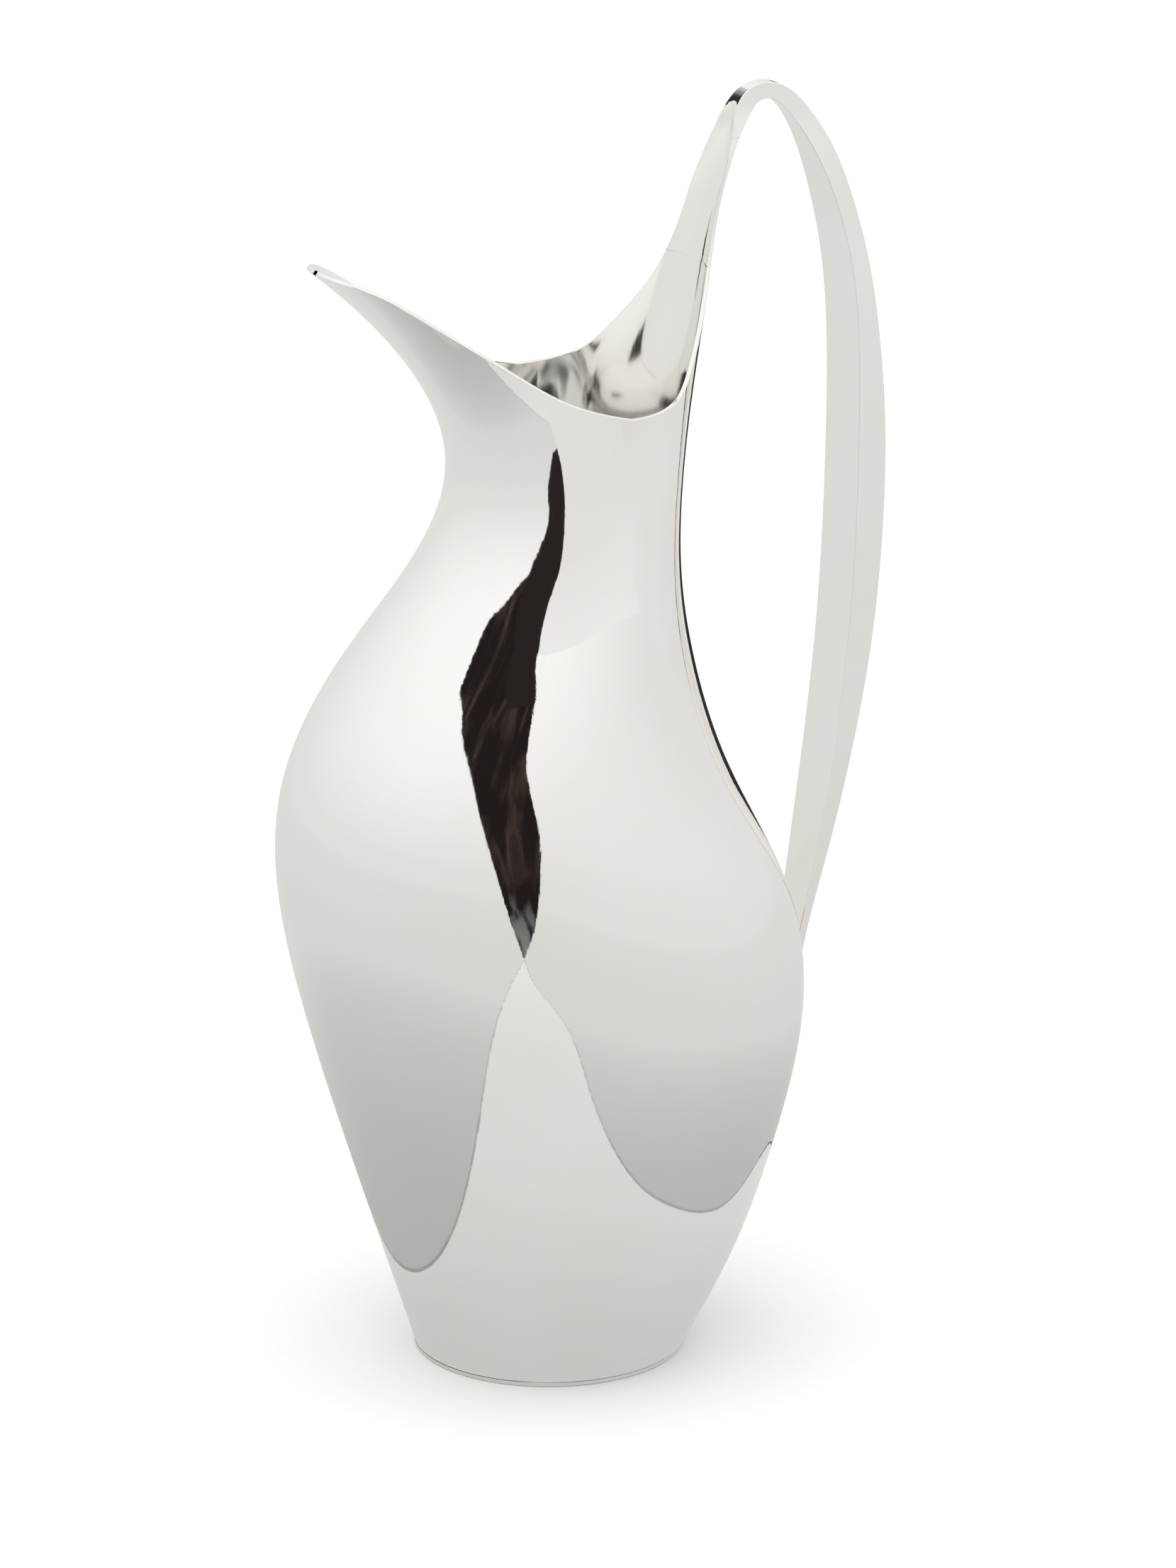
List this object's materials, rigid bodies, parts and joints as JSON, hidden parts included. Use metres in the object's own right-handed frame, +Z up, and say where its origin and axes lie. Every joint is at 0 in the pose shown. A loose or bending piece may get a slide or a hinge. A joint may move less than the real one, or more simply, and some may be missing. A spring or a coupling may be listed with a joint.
{
  "type": "water pitcher",
  "caption": "Tall polished silver water pitcher with a leaning vase body, long raised pouring lip and an arched hollow strap handle that grows out of the back of the mouth.",
  "frame": {"origin": "centre of the round base on the standing surface", "axes": "+Z up, -X towards the pouring lip, +X towards the handle, mirror plane Y=0"},
  "size_m": [0.1815, 0.137, 0.36],
  "materials": {
    "body_silver": "mirror-polished silver sheet with faint polishing marks",
    "handle_silver": "mirror-polished silver strip with crisp edges",
    "base_silver": "polished silver, lightly worn underneath"
  },
  "bodies": {
    "root": {"body_left_half": "body_silver", "body_right_half": "body_silver", "base_plate": "base_silver", "handle_inner_strip": "handle_silver", "handle_outer_strip": "handle_silver", "handle_front_channel": "handle_silver", "handle_left_cheek": "handle_silver", "handle_right_cheek": "handle_silver"}
  },
  "joints": []
}
